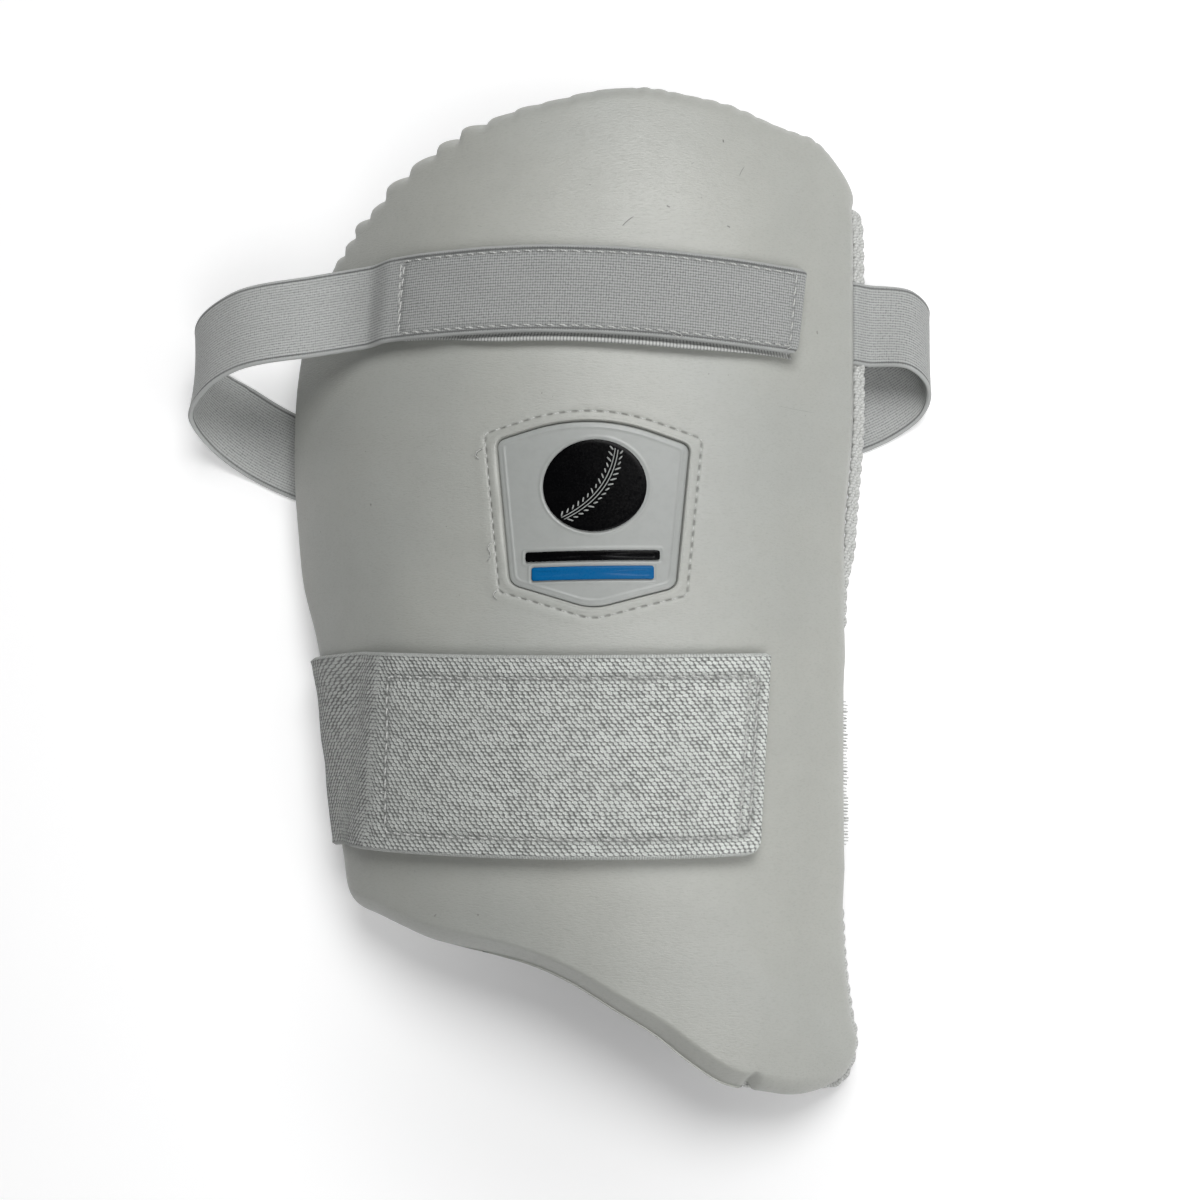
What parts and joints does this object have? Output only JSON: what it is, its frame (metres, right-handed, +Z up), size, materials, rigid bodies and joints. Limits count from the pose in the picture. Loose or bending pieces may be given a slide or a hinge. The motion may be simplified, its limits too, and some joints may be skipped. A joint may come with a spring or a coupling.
{
  "type": "cricket thigh guard",
  "caption": "Curved padded cricket thigh guard with a leather face, narrow waist strap and wide thigh strap, both elastic with hook-and-loop ends.",
  "frame": {"origin": "centre of the footprint on the ground, under the middle of the bounding box", "axes": "+Z up, out of the padded face; +Y towards the waist end; +X towards the edge where both straps are sewn"},
  "size_m": [0.2992, 0.3762, 0.0846],
  "materials": {
    "leather": "satin, fine grain",
    "lining": "matt brushed cloth",
    "seam_thread": "matt overcast thread",
    "elastic_waist": "ribbed elastic webbing",
    "elastic_thigh": "coarse knitted elastic",
    "hook_tape": "nylon hook tape",
    "loop_tape": "brushed nylon loop tape",
    "badge_white": "gloss",
    "badge_black": "gloss",
    "badge_blue": "gloss"
  },
  "bodies": {
    "root": {"face_pad": "leather", "back_lining": "lining", "edge_seam": "seam_thread", "waist_strap": "elastic_waist", "waist_hook_patch": "hook_tape", "waist_loop_patch": "loop_tape", "thigh_strap": "elastic_thigh", "thigh_hook_patch": "hook_tape", "thigh_loop_patch": "loop_tape", "badge_plate": "badge_white", "badge_ball": "badge_black", "badge_black_bar": "badge_black", "badge_blue_bar": "badge_blue"}
  },
  "joints": []
}
